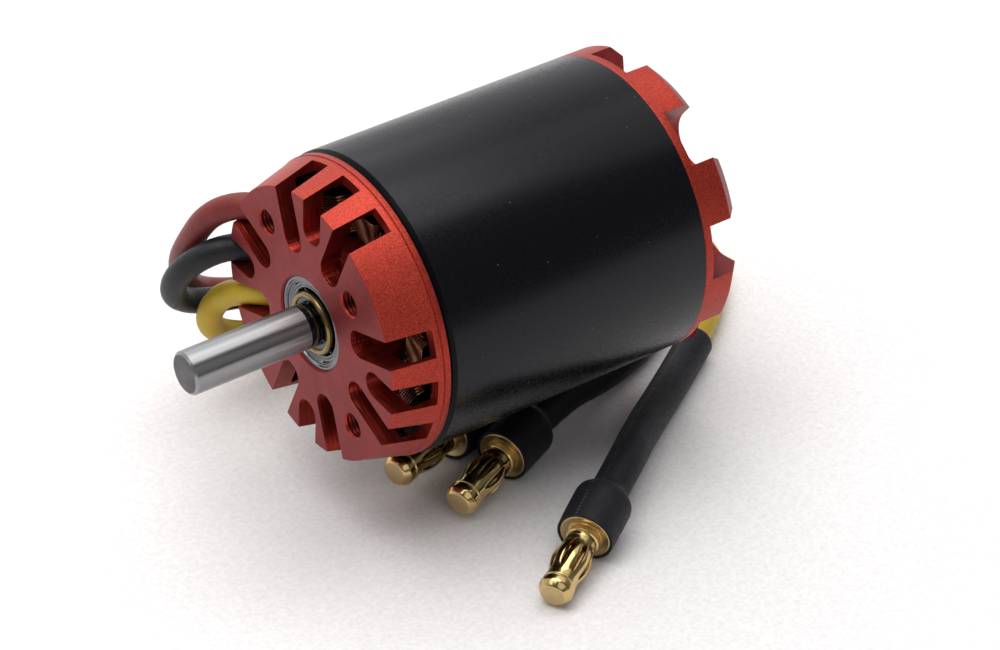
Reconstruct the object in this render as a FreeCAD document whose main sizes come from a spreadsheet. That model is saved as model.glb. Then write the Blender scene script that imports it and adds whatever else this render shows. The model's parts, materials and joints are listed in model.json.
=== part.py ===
"""Brushless outrunner motor with a 42 mm can, a 6 mm shaft and three leads.

The origin is the centre of the front mounting face, on the shaft's axis. +X points along the
shaft towards the rear, +Z is up, and the leads leave the front cap on the +Y side. Lengths are
millimetres. The motor lies level on its own leads, FLOOR below the axis.

Angles round the shaft are measured from up (+Z) towards -Y.
"""
import FreeCAD, Part
import Sketcher
import math
import os
import re

Vec = FreeCAD.Vector
X_AXIS = Vec(1, 0, 0)
ORIGIN = Vec(0, 0, 0)

# Driving dimensions. They go into the sheet, and every sub-part is bound to them.
SIZES = {
    # shaft
    "shaft_radius": 3.0,
    "shaft_front": -19.0,
    "shaft_rear": 55.0,
    "shaft_chamfer": 0.35,
    "shaft_groove_radius": 2.6,
    "shaft_groove_width": 0.8,
    # front cap: a cup whose plate carries the slots, the mount holes and the bearing
    "cap_face_radius": 18.9,
    "cap_cone_end": 6.9,
    "cap_cone_radius": 20.7,
    "cap_rim_end": 7.8,
    "cap_rim_radius": 20.8,
    "cap_wall_radius": 19.0,
    "cap_plate": 3.0,
    "cap_boss_radius": 9.0,
    "cap_boss_end": 9.0,
    "cap_edge_chamfer": 0.2,
    "slot_width": 3.9,
    "slot_depth": 6.0,
    "slot_inner_outer_pair": 10.0,
    "slot_inner_middle": 13.0,
    "slot_group_angle": 4.8,
    "slot_pitch_angle": 20.5,
    "slot_groups": 4,
    "mount_hole_radius": 1.65,
    "mount_hole_angle": 48.6,
    "mount_circle_wide": 14.3,
    "mount_circle_narrow": 12.5,
    # ball bearings, 6 x 13 x 5
    "bearing_radius": 6.5,
    "bearing_width": 5.0,
    "bearing_front": 0.3,
    "bearing_rear_front": 39.2,
    "outer_ring_bore": 5.85,
    "inner_ring_radius": 4.0,
    "ball_circle_radius": 4.9,
    "ball_radius": 1.08,
    "race_radius": 1.11,
    "ball_count": 7,
    "slinger_inner": 3.65,
    "slinger_radius": 4.4,
    "slinger_front": 0.05,
    "slinger_rear": 0.8,
    "shield_inner": 4.6,
    "shield_front": 0.7,
    "shield_sheet": 0.2,
    # bearing tube and wound core
    "tube_radius": 7.5,
    "tube_bore": 5.6,
    "tube_rear": 44.6,
    "core_front": 12.5,
    "core_length": 26.0,
    "core_radius": 17.4,
    "core_hub_radius": 9.4,
    "tooth_width": 2.9,
    "tooth_tip_width": 7.2,
    "tooth_tip_inner": 15.8,
    "tooth_count": 12,
    "tooth_angle": -85.2,
    "insulator": 0.8,
    "coil_inner": 9.7,
    "coil_height": 5.8,
    "coil_half_width": 2.45,
    "coil_end_turn": 3.4,
    "coil_taper": 14.0,
    "coil_corner": 1.2,
    "coil_hole_width": 3.1,
    # rotor: can, magnets and rear cap
    "can_radius": 21.0,
    "can_bore": 19.7,
    "can_front": 8.0,
    "can_rear": 48.9,
    "can_chamfer": 0.7,
    "magnet_inner": 17.9,
    "magnet_front": 11.0,
    "magnet_length": 30.0,
    "magnet_count": 14,
    "magnet_arc": 23.0,
    "rear_cap_front": 46.4,
    "rear_cap_rear": 55.5,
    "rear_cap_chamfer": 2.0,
    "rear_cap_recess_radius": 9.5,
    "rear_cap_recess": 0.8,
    "notch_floor": 50.1,
    "notch_width": 8.0,
    "notch_inner": 12.5,
    "notch_count": 8,
    "notch_angle": -6.9,
    "grub_radius": 1.5,
    "grub_length": 6.0,
    "grub_station": 52.6,
    "grub_socket": 0.85,
    "spacer_radius": 4.2,
    # leads, sleeves and plugs
    "wire_radius": 1.8,
    "sleeve_radius": 2.55,
    "sleeve_fat_radius": 4.0,
    "sleeve_fat_length": 7.0,
    "sleeve_shoulder_end": 8.6,
    "plug_cup_radius": 3.5,
    "plug_cup_length": 7.3,
    "plug_bore_depth": 2.0,
    "plug_mouth_radius": 2.9,
    "plug_mouth_depth": 0.7,
    "plug_neck_radius": 2.05,
    "plug_neck_length": 1.5,
    "plug_core_radius": 1.15,
    "plug_tip_start": 8.6,
    "plug_tip_radius": 2.35,
    "plug_length": 11.2,
    "plug_tip_round": 0.6,
    "spring_sheet": 0.3,
    "spring_belly": 2.6,
    "spring_slot_width": 0.8,
    "spring_slot_start": 2.4,
    "spring_slot_end": 7.5,
    "spring_slots": 8,
    "tail_stub_radius": 1.2,
    "tail_pin_radius": 0.8,
    "tail_pin_circle": 10.0,
    "tail_end": 8.3,
}

# Routes of the leads' centre lines, from inside the front cap to the solder cup of the plug.
# Bare wire rests on the floor at -27.7, the thin sleeve at -26.95 and the thick one at -25.5.
FLOOR = -29.5
ROUTES = {
    "black": [
        (5.0, 10.6, 0.9), (5.0, 14.5, 1.2), (3.0, 18.1, 1.5), (-1.0, 20.0, 1.4),
        (-4.0, 22.5, -1.0), (-5.3, 25.3, -5.0), (-4.0, 27.6, -9.5), (1.2, 28.6, -12.8),
        (9.0, 28.8, -14.6), (17.5, 28.4, -18.0), (27.0, 27.4, -22.4), (37.5, 26.8, -26.4),
        (48.5, 26.4, -27.7), (58.0, 24.4, -27.5), (62.8, 17.6, -26.95), (59.2, 10.8, -26.95),
        (50.6, 7.3, -26.95), (42.2, 5.2, -26.8), (34.14, 2.2, -25.45), (22.22, -1.2, -25.45),
    ],
    "red": [
        (5.0, 9.75, 4.6), (4.9, 12.7, 6.0), (4.5, 15.5, 7.3), (2.2, 18.0, 8.4),
        (-0.9, 22.3, 5.8), (-2.1, 26.2, -0.6), (-1.3, 30.2, -6.4), (1.5, 33.0, -13.0),
        (9.0, 34.4, -17.4), (19.0, 35.2, -19.8), (30.0, 34.8, -22.6), (41.0, 33.0, -26.2),
        (53.0, 31.8, -27.7), (63.5, 28.8, -27.7), (70.0, 21.4, -27.4), (69.2, 12.8, -26.95),
        (63.0, 5.8, -26.95), (54.7, 1.0, -26.9), (46.2, -2.1, -26.2), (36.75, -4.55, -24.5),
        (25.33, -9.28, -25.36),
    ],
    "yellow": [
        (5.0, 10.6, -2.98), (4.4, 12.4, -3.5), (2.8, 14.8, -4.2), (1.7, 18.2, -5.4),
        (0.1, 22.6, -8.0), (-1.1, 24.4, -12.6), (2.1, 26.0, -16.8), (7.8, 27.4, -20.1),
        (14.2, 29.4, -23.7), (22.0, 32.0, -26.8), (32.0, 35.6, -27.7), (43.5, 37.6, -27.7),
        (56.0, 37.8, -27.7), (68.0, 35.2, -27.7), (76.4, 28.6, -27.7), (79.8, 19.0, -27.7),
        (76.8, 10.6, -27.7), (71.4, 4.2, -27.4), (65.8, -0.6, -26.95), (58.4, -5.5, -26.95),
        (49.9, -11.3, -26.4), (41.8, -17.0, -25.0), (34.03, -23.35, -23.3), (23.54, -29.69, -25.17),
    ],
}
# Each sleeve starts half way along the run that ends at this point of its lead's route.
SLEEVE_POINT = {"black": 15, "red": 16, "yellow": 19}
# Angle of the slot that each lead comes out of.
LEAD_ANGLE = {"black": -85.2, "red": -64.7, "yellow": -105.7}
ARC_SHARE = 0.45

doc = FreeCAD.newDocument("outrunner_motor")
sheet = doc.addObject("Spreadsheet::Sheet", "Sheet")
nodes = []


def fill_sheet():
    """Writes one row per driving dimension: its name, and its value under that alias."""
    for row, (name, number) in enumerate(SIZES.items(), start=1):
        sheet.set(f"A{row}", name)
        sheet.set(f"B{row}", str(number))
        sheet.setAlias(f"B{row}", name)
    doc.recompute()


def size(name):
    """Value of one cell of the sheet."""
    return float(getattr(sheet, name))


def bound(text):
    """Expression in which each size's name is read from the sheet."""
    return re.sub(r"[a-z_]+", lambda word: "Sheet." + word[0] if word[0] in SIZES else word[0], text)


def worth(text):
    """Present value of a formula on the sheet."""
    return float(doc.Sheet.evalExpression(bound(text)))


def bind(thing, **formulas):
    """Binds properties of an object to formulas on the sheet."""
    for name, text in formulas.items():
        thing.setExpression(name, bound(text))


def keep(thing, label):
    """Names an object and lists it as a sub-part."""
    thing.Label = label
    nodes.append(thing)
    return thing


def turned(angle):
    """Placement that turns a piece about the shaft's axis."""
    return FreeCAD.Placement(ORIGIN, FreeCAD.Rotation(X_AXIS, angle))


def outward(radius, angle, station=0.0):
    """Point at a radius and angle round the shaft, at a station along it."""
    turn = math.radians(angle)
    return Vec(station, -radius * math.sin(turn), radius * math.cos(turn))


# ---------------------------------------------------------------- sketches and features

def origin_feature(body, role):
    """Plane or axis of a body's own origin."""
    return next(item for item in body.Origin.OriginFeatures if item.Role == role)


def new_body(label):
    return keep(doc.addObject("PartDesign::Body", label), label)


def new_sketch(body, name, plane, angle="0", lift="0"):
    """Sketch on an origin plane, turned in that plane and lifted off it by sheet formulas."""
    sketch = body.newObject("Sketcher::SketchObject", name)
    sketch.AttachmentSupport = [(origin_feature(body, plane), "")]
    sketch.MapMode = "FlatFace"
    sketch.AttachmentOffset = FreeCAD.Placement(ORIGIN, FreeCAD.Rotation(Vec(0, 0, 1), 1))
    sketch.setExpression(".AttachmentOffset.Rotation.Angle", bound(f"({angle}) * 1 deg"))
    sketch.setExpression(".AttachmentOffset.Base.z", bound(f"({lift}) * 1 mm"))
    return sketch


def pin(sketch, kind, geometry, point, text):
    """Holds one point's distance from the sketch's origin at a sheet formula."""
    index = sketch.addConstraint(Sketcher.Constraint(kind, -1, 1, geometry, point, worth(text)))
    sketch.setExpression(f"Constraints[{index}]", bound(text))


def draw_outline(sketch, corners):
    """Closed outline of straight edges whose corners are pairs of sheet formulas."""
    count = len(corners)
    places = [Vec(worth(across), worth(up), 0) for across, up in corners]
    for here, there in zip(places, places[1:] + places[:1]):
        sketch.addGeometry(Part.LineSegment(here, there), False)
    for i in range(count):
        sketch.addConstraint(Sketcher.Constraint("Coincident", i, 2, (i + 1) % count, 1))
    for i, (across, up) in enumerate(corners):
        pin(sketch, "DistanceX", i, 1, across)
        pin(sketch, "DistanceY", i, 1, up)


def draw_circle(sketch, radius, height="0"):
    """Circle on the sketch's upright axis."""
    draw_circle_at(sketch, radius, "0", height)


def draw_circle_at(sketch, radius, across, up):
    """Circle whose centre is a pair of sheet formulas."""
    middle = Vec(worth(across), worth(up), 0)
    circle = sketch.addGeometry(Part.Circle(middle, Vec(0, 0, 1), worth(radius)), False)
    index = sketch.addConstraint(Sketcher.Constraint("Radius", circle, worth(radius)))
    sketch.setExpression(f"Constraints[{index}]", bound(radius))
    pin(sketch, "DistanceX", circle, 3, across)
    pin(sketch, "DistanceY", circle, 3, up)


def draw_slot(sketch, width, inner, top):
    """Upright slot with a round lower end at the inner radius, open past the top."""
    half = size(width) / 2
    low = size(inner) + half
    high = worth(top)
    sketch.addGeometry(Part.LineSegment(Vec(-half, high, 0), Vec(-half, low, 0)), False)
    round_end = Part.ArcOfCircle(Part.Circle(Vec(0, low, 0), Vec(0, 0, 1), half), math.pi, 2 * math.pi)
    sketch.addGeometry(round_end, False)
    sketch.addGeometry(Part.LineSegment(Vec(half, low, 0), Vec(half, high, 0)), False)
    sketch.addGeometry(Part.LineSegment(Vec(half, high, 0), Vec(-half, high, 0)), False)
    for line, point, other, other_point in ((0, 2, 1, 1), (1, 2, 2, 1), (2, 2, 3, 1), (3, 2, 0, 1)):
        sketch.addConstraint(Sketcher.Constraint("Coincident", line, point, other, other_point))
    sketch.addConstraint(Sketcher.Constraint("Vertical", 0))
    sketch.addConstraint(Sketcher.Constraint("Vertical", 2))
    sketch.addConstraint(Sketcher.Constraint("Horizontal", 3))
    index = sketch.addConstraint(Sketcher.Constraint("Radius", 1, half))
    sketch.setExpression(f"Constraints[{index}]", bound(f"{width} / 2"))
    pin(sketch, "DistanceX", 1, 3, "0")
    for point in (1, 2, 3):
        pin(sketch, "DistanceY", 1, point, f"{inner} + {width} / 2")
    pin(sketch, "DistanceY", 2, 2, top)


def revolve(body, corners):
    """Turns an outline of (station, radius) pairs about the shaft's axis."""
    sketch = new_sketch(body, body.Name + "_profile", "XZ_Plane")
    draw_outline(sketch, corners)
    feature = body.newObject("PartDesign::Revolution", body.Name + "_turning")
    feature.Profile = sketch
    feature.ReferenceAxis = (sketch, ["H_Axis"])
    feature.Angle = 360
    sketch.Visibility = False
    return feature


def pad(body, sketch, length, taper="0"):
    """Grows a sketch along its plane's normal."""
    feature = body.newObject("PartDesign::Pad", sketch.Name + "_pad")
    feature.Profile = sketch
    bind(feature, Length=length, TaperAngle=taper)
    return feature


def cut_forward(body, sketch, length):
    """Cuts a sketch into the body along its plane's normal."""
    feature = body.newObject("PartDesign::Pocket", sketch.Name + "_cut")
    feature.Profile = sketch
    feature.Reversed = True
    bind(feature, Length=length)
    return feature


def pattern(body, features, occurrences):
    """Repeats features evenly round the shaft's axis."""
    feature = body.newObject("PartDesign::PolarPattern", features[0].Name + "_ring")
    feature.Originals = features
    feature.Axis = (origin_feature(body, "X_Axis"), [""])
    feature.Angle = 360
    bind(feature, Occurrences=occurrences)
    body.Tip = feature
    return feature


def edge_names(shape, wanted):
    """Names of the edges that pass a test."""
    return [f"Edge{i}" for i, edge in enumerate(shape.Edges, start=1) if wanted(edge)]


def turned_body(label, corners):
    """Body made by one turning, from an outline of (station, radius) formulas."""
    body = new_body(label)
    revolve(body, corners)
    return body


def tube(label, front, length, radius, bore):
    """Plain ring along the shaft's axis, as one cylinder cut from another."""
    outside = doc.addObject("Part::Cylinder", label + "_outside")
    inside = doc.addObject("Part::Cylinder", label + "_inside")
    for cylinder, width in ((outside, radius), (inside, bore)):
        cylinder.Placement = FreeCAD.Placement(ORIGIN, FreeCAD.Rotation(Vec(0, 1, 0), 90))
        cylinder.setExpression("Placement.Base.x", bound(f"({front}) * 1 mm"))
        bind(cylinder, Radius=width, Height=length)
    ring = doc.addObject("Part::Cut", label)
    ring.Base = outside
    ring.Tool = inside
    return ring


# ---------------------------------------------------------------- shaft, cap and tube

def make_shaft():
    front, rear = "shaft_front", "shaft_rear"
    turned_body("shaft", [
        (front, "0"),
        (front, "shaft_radius - shaft_chamfer"),
        (f"{front} + shaft_chamfer", "shaft_radius"),
        ("slinger_front", "shaft_radius"),
        ("slinger_front", "shaft_groove_radius"),
        ("slinger_front + shaft_groove_width", "shaft_groove_radius"),
        ("slinger_front + shaft_groove_width", "shaft_radius"),
        (f"{rear} - shaft_chamfer", "shaft_radius"),
        (rear, "shaft_radius - shaft_chamfer"),
        (rear, "0"),
    ])


def make_front_cap():
    """Cup with twelve slots in four groups, four tapped holes and the front bearing's seat."""
    body = turned_body("front_cap", [
        ("0", "bearing_radius + cap_edge_chamfer"),
        ("0", "cap_face_radius - cap_edge_chamfer"),
        ("cap_edge_chamfer", "cap_face_radius"),
        ("cap_cone_end", "cap_cone_radius"),
        ("cap_rim_end - cap_edge_chamfer", "cap_rim_radius"),
        ("cap_rim_end", "cap_rim_radius - cap_edge_chamfer"),
        ("cap_rim_end", "cap_wall_radius"),
        ("cap_plate", "cap_wall_radius"),
        ("cap_plate", "cap_boss_radius"),
        ("cap_boss_end", "cap_boss_radius"),
        ("cap_boss_end", "tube_radius"),
        ("bearing_front + bearing_width", "tube_radius"),
        ("bearing_front + bearing_width", "bearing_radius"),
        ("cap_edge_chamfer", "bearing_radius"),
    ])
    slots = []
    reaches = ("slot_inner_outer_pair", "slot_inner_middle", "slot_inner_outer_pair")
    for place, inner in zip((-1, 0, 1), reaches):
        angle = f"slot_group_angle + ({place}) * slot_pitch_angle"
        sketch = new_sketch(body, f"slot_{place + 2}", "YZ_Plane", angle)
        draw_slot(sketch, "slot_width", inner, "cap_rim_radius + 2")
        slots.append(cut_forward(body, sketch, "slot_depth"))
    pattern(body, slots, "slot_groups")
    for circle, quarter in (("mount_circle_wide", 90), ("mount_circle_narrow", 0)):
        sketch = new_sketch(body, circle + "_hole", "YZ_Plane", f"mount_hole_angle - {quarter}")
        draw_circle(sketch, "mount_hole_radius", circle)
        hole = cut_forward(body, sketch, "cap_plate + 1")
        pattern(body, [hole], "2")


def make_bearing_tube():
    """Tube pressed into the front cap: it carries the core, and the rear bearing in its end."""
    turned_body("bearing_tube", [
        ("bearing_front + bearing_width", "tube_bore"),
        ("bearing_front + bearing_width", "tube_radius"),
        ("tube_rear", "tube_radius"),
        ("tube_rear", "bearing_radius"),
        ("bearing_rear_front", "bearing_radius"),
        ("bearing_rear_front", "tube_bore"),
    ])


# ---------------------------------------------------------------- bearings

def race_ring(label, front, radius, bore):
    """Bearing ring with a round groove for the balls."""
    plain = tube(label + "_blank", front, "bearing_width", radius, bore)
    groove = doc.addObject("Part::Torus", label + "_groove")
    groove.Placement = FreeCAD.Placement(ORIGIN, FreeCAD.Rotation(Vec(0, 1, 0), 90))
    groove.setExpression("Placement.Base.x", bound(f"({front} + bearing_width / 2) * 1 mm"))
    bind(groove, Radius1="ball_circle_radius", Radius2="race_radius")
    ring = doc.addObject("Part::Cut", label)
    ring.Base = plain
    ring.Tool = groove
    return ring


def make_balls(label, front):
    """Ring of separate balls."""
    balls = []
    for i in range(int(size("ball_count"))):
        ball = doc.addObject("Part::Sphere", f"{label}_{i + 1}")
        turn = f"{i} * 360 deg / ball_count"
        ball.setExpression("Placement.Base.x", bound(f"({front} + bearing_width / 2) * 1 mm"))
        ball.setExpression("Placement.Base.y", bound(f"-ball_circle_radius * sin({turn}) * 1 mm"))
        ball.setExpression("Placement.Base.z", bound(f"ball_circle_radius * cos({turn}) * 1 mm"))
        bind(ball, Radius="ball_radius")
        balls.append(ball)
    group = doc.addObject("Part::Compound", label)
    group.Links = balls
    keep(group, label)


def make_front_bearing():
    keep(race_ring("front_bearing_outer_ring", "bearing_front", "bearing_radius", "outer_ring_bore"),
         "front_bearing_outer_ring")
    whole = race_ring("front_inner_ring_whole", "bearing_front", "inner_ring_radius", "shaft_radius")
    step = tube("front_inner_ring_step", "bearing_front", "slinger_rear - bearing_front",
                "inner_ring_radius + 1", "slinger_inner")
    ring = doc.addObject("Part::Cut", "front_bearing_inner_ring")
    ring.Base = whole
    ring.Tool = step
    keep(ring, "front_bearing_inner_ring")
    make_balls("front_bearing_balls", "bearing_front")
    turned_body("front_bearing_shield", [
        ("shield_front", "outer_ring_bore"),
        ("shield_front", "outer_ring_bore - 0.35"),
        ("shield_front + 0.3", "outer_ring_bore - 0.55"),
        ("shield_front + 0.3", "shield_inner"),
        ("shield_front + 0.3 + shield_sheet", "shield_inner"),
        ("shield_front + 0.3 + shield_sheet", "outer_ring_bore - 0.45"),
        ("shield_front + shield_sheet", "outer_ring_bore - 0.25"),
        ("shield_front + shield_sheet", "outer_ring_bore"),
    ])
    turned_body("front_slinger_ring", [
        ("slinger_rear", "slinger_inner"),
        ("slinger_front + 0.2", "slinger_inner"),
        ("slinger_front", "slinger_inner + 0.2"),
        ("slinger_front", "slinger_radius - 0.25"),
        ("slinger_front + 0.25", "slinger_radius"),
        ("slinger_rear", "slinger_radius"),
    ])


def make_rear_bearing():
    front = "bearing_rear_front"
    keep(race_ring("rear_bearing_outer_ring", front, "bearing_radius", "outer_ring_bore"),
         "rear_bearing_outer_ring")
    keep(race_ring("rear_bearing_inner_ring", front, "inner_ring_radius", "shaft_radius"),
         "rear_bearing_inner_ring")
    make_balls("rear_bearing_balls", front)


# ---------------------------------------------------------------- wound core

def tooth_row(label, front, length):
    """Hub ring with T-shaped teeth, trimmed round: the core's section and its insulators'."""
    body = new_body(label)
    hub = new_sketch(body, label + "_hub", "YZ_Plane", lift=front)
    draw_circle(hub, "core_hub_radius")
    draw_circle(hub, "tube_radius")
    pad(body, hub, length)
    tooth = new_sketch(body, label + "_tooth", "YZ_Plane", "tooth_angle", front)
    side, tip = "tooth_width / 2", "tooth_tip_width / 2"
    root, step, outside = "core_hub_radius - 0.3", "tooth_tip_inner", "core_radius + 1"
    draw_outline(tooth, [
        (f"-{side}", root), (side, root), (side, step), (tip, f"{step} + 0.6"),
        (tip, outside), (f"-{tip}", outside), (f"-{tip}", f"{step} + 0.6"), (f"-{side}", step),
    ])
    pattern(body, [pad(body, tooth, length)], "tooth_count")
    trim = new_sketch(body, label + "_trim", "YZ_Plane", lift=front)
    draw_circle(trim, "core_radius")
    draw_circle(trim, "core_radius + 3")
    body.Tip = cut_forward(body, trim, length)


def draw_block(sketch, half_length, half_width):
    """Rectangle centred on the core's middle."""
    middle = "core_front + core_length / 2"
    front, rear = f"{middle} - {half_length}", f"{middle} + {half_length}"
    left, right = f"-{half_width}", half_width
    draw_outline(sketch, [(front, left), (rear, left), (rear, right), (front, right)])


def make_coil(number):
    """Winding of one tooth: a wedge that widens outwards, with the tooth's hole through it."""
    body = new_body(f"coil_{number:02d}")
    block = new_sketch(body, body.Name + "_block", "XY_Plane", lift="coil_inner")
    draw_block(block, "(core_length / 2 + insulator + coil_end_turn)", "coil_half_width")
    wedge = pad(body, block, "coil_height", "coil_taper")
    doc.recompute()
    corners = edge_names(wedge.Shape, lambda edge: abs(edge.tangentAt(edge.FirstParameter).z) > 0.5)
    rounding = body.newObject("PartDesign::Fillet", body.Name + "_rounding")
    rounding.Base = (wedge, corners)
    bind(rounding, Radius="coil_corner")
    hole = new_sketch(body, body.Name + "_hole", "XY_Plane", lift="coil_inner")
    draw_block(hole, "(core_length / 2 + insulator)", "(coil_hole_width / 2)")
    body.Tip = cut_forward(body, hole, "coil_height")
    body.Placement = turned(size("tooth_angle") + (number - 1) * 360 / size("tooth_count"))


def make_wound_core():
    tooth_row("stator_core", "core_front", "core_length")
    tooth_row("front_insulator", "core_front - insulator", "insulator")
    tooth_row("rear_insulator", "core_front + core_length", "insulator")
    for number in range(1, int(size("tooth_count")) + 1):
        make_coil(number)


# ---------------------------------------------------------------- rotor

def make_can():
    """Steel flux ring with a chamfered front edge."""
    turned_body("rotor_can", [
        ("can_front", "can_bore"),
        ("can_front", "can_radius - can_chamfer"),
        ("can_front + can_chamfer", "can_radius"),
        ("can_rear", "can_radius"),
        ("can_rear", "can_bore"),
    ])


def make_magnet(number):
    """Curved magnet glued inside the can."""
    label = f"magnet_{number:02d}"
    magnet = tube(label, "magnet_front", "magnet_length", "can_bore", "magnet_inner")
    bind(magnet.Base, Angle="magnet_arc * 1 deg")
    magnet.Placement = turned((number - 0.5) * 360 / size("magnet_count"))
    keep(magnet, label)


def make_rear_cap():
    """Rear cap: a spigot in the can, a lip over its end, and eight notches round the outside."""
    body = turned_body("rear_cap", [
        ("rear_cap_front", "shaft_radius"),
        ("rear_cap_front", "can_bore"),
        ("can_rear", "can_bore"),
        ("can_rear", "can_radius"),
        ("rear_cap_rear - rear_cap_chamfer", "can_radius"),
        ("rear_cap_rear", "can_radius - rear_cap_chamfer"),
        ("rear_cap_rear", "rear_cap_recess_radius"),
        ("rear_cap_rear - rear_cap_recess", "rear_cap_recess_radius - rear_cap_recess"),
        ("rear_cap_rear - rear_cap_recess", "shaft_radius"),
    ])
    sketch = new_sketch(body, "notch", "YZ_Plane", "notch_angle", "notch_floor")
    draw_slot(sketch, "notch_width", "notch_inner", "can_radius + 2")
    pattern(body, [cut_forward(body, sketch, "rear_cap_rear - notch_floor + 1")], "notch_count")
    for quarter in (0, 90):
        hole = new_sketch(body, f"grub_hole_{quarter}", "XY_Plane")
        hole.setExpression(".AttachmentOffset.Rotation.Angle", None)
        hole.AttachmentOffset = turned(size("notch_angle") + quarter)
        draw_circle_at(hole, "grub_radius", "grub_station", "0")
        body.Tip = cut_forward(body, hole, "notch_inner + 1")


def make_grub_screws():
    """Two set screws that hold the rear cap on the shaft, each with a hex socket."""
    screws = []
    for quarter in (0, 90):
        shank = doc.addObject("Part::Cylinder", f"grub_shank_{quarter}")
        bind(shank, Radius="grub_radius", Height="grub_length")
        socket = doc.addObject("Part::Prism", f"grub_socket_{quarter}")
        socket.Polygon = 6
        bind(socket, Circumradius="grub_socket", Height="grub_length / 2")
        socket.setExpression("Placement.Base.z", bound("(grub_length / 2) * 1 mm"))
        screw = doc.addObject("Part::Cut", f"grub_screw_{quarter}")
        screw.Base = shank
        screw.Tool = socket
        angle = size("notch_angle") + quarter
        foot = outward(size("shaft_radius"), angle, size("grub_station"))
        screw.Placement = FreeCAD.Placement(foot, FreeCAD.Rotation(X_AXIS, angle))
        screws.append(screw)
    group = doc.addObject("Part::Compound", "grub_screws")
    group.Links = screws
    keep(group, "grub_screws")


def make_rotor():
    make_can()
    for number in range(1, int(size("magnet_count")) + 1):
        make_magnet(number)
    make_rear_cap()
    make_grub_screws()
    rear_face = "bearing_rear_front + bearing_width"
    keep(tube("rear_spacer", rear_face, f"rear_cap_front - ({rear_face})", "spacer_radius", "shaft_radius"),
         "rear_spacer")


# ---------------------------------------------------------------- leads, sleeves and plugs

def corner_reach(points):
    """Length of run that the arc at each inner point takes up on both sides."""
    return [
        ARC_SHARE * min(before.distanceToPoint(corner), corner.distanceToPoint(after))
        for before, corner, after in zip(points, points[1:], points[2:])
    ]


def rounded_path(points, reaches):
    """Straight runs joined by tangent arcs, and the arcs' radii."""
    edges = []
    radii = []
    start = points[0]
    for before, corner, after, reach in zip(points, points[1:], points[2:], reaches):
        back = (before - corner).normalize()
        ahead = (after - corner).normalize()
        half_turn = (math.pi - back.getAngle(ahead)) / 2
        radius = reach / math.tan(half_turn)
        inside = (back + ahead).normalize() * radius * (1 / math.cos(half_turn) - 1)
        near = corner + back * reach
        far = corner + ahead * reach
        edges.append(Part.LineSegment(start, near).toShape())
        edges.append(Part.Arc(near, corner + inside, far).toShape())
        radii.append(radius)
        start = far
    edges.append(Part.LineSegment(start, points[-1]).toShape())
    return Part.Wire(edges), radii


def swept(path, radius):
    """Round solid along a path."""
    first = path.Edges[0]
    start = first.valueAt(first.FirstParameter)
    along = first.tangentAt(first.FirstParameter)
    ring = Part.Wire(Part.Circle(start, along, radius).toShape())
    solid = path.makePipeShell([ring], True, False)
    if abs(solid.Volume) < 0.5 * math.pi * radius ** 2 * path.Length:
        raise ValueError("a swept tube lost its volume")
    return solid if solid.Volume > 0 else solid.reversed()


def plug_placement(points):
    """Placement of a plug's own frame: its origin is the flange's face, its +X is the tip's way."""
    ahead = (points[-1] - points[-2]).normalize()
    flange = points[-1] + ahead * size("plug_bore_depth")
    return FreeCAD.Placement(flange, FreeCAD.Rotation(X_AXIS, ahead))


def add_solid(label, shape):
    feature = doc.addObject("Part::Feature", label)
    feature.Shape = shape
    return keep(feature, label)


def make_lead(colour, points):
    path, radii = rounded_path(points, corner_reach(points))
    wire = swept(path, size("wire_radius"))
    add_solid(f"lead_{colour}", wire)
    section = math.pi * size("wire_radius") ** 2
    print(f"lead_{colour}: length {path.Length:.1f}, volume over section times length "
          f"{wire.Volume / (section * path.Length):.4f}, radii {[round(radius, 1) for radius in radii]}")
    return wire


def make_sleeve(colour, points, wire):
    """Heat-shrink sleeve: a thin stretch on the wire and a thick one over the plug's cup."""
    first = SLEEVE_POINT[colour]
    start = (points[first - 1] + points[first]) / 2
    frame = plug_placement(points)
    end = frame.multVec(Vec(-size("sleeve_shoulder_end"), 0, 0))
    path, _ = rounded_path([start] + points[first:-1] + [end], corner_reach(points)[first - 1:])
    fat, thin, cup = size("sleeve_fat_radius"), size("sleeve_radius"), size("plug_cup_radius")
    shoulder, cup_end = size("sleeve_shoulder_end"), size("plug_cup_length")
    fat_end = size("sleeve_fat_length")
    outline = [
        Vec(-shoulder, 0, 0), Vec(-shoulder, 0, thin), Vec(-fat_end - 0.5, 0, fat - 0.3),
        Vec(-fat_end, 0, fat), Vec(0, 0, fat), Vec(0, 0, cup), Vec(-cup_end, 0, cup),
        Vec(-cup_end, 0, 0), Vec(-shoulder, 0, 0),
    ]
    thick = Part.Face(Part.makePolygon(outline)).revolve(ORIGIN, X_AXIS, 360)
    thick.Placement = frame
    sleeve = swept(path, thin).fuse(thick).cut(wire).removeSplitter()
    add_solid(f"sleeve_{colour}", sleeve)
    print(f"sleeve_{colour}: length {path.Length + shoulder:.1f}, solids {len(sleeve.Solids)}")


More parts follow.
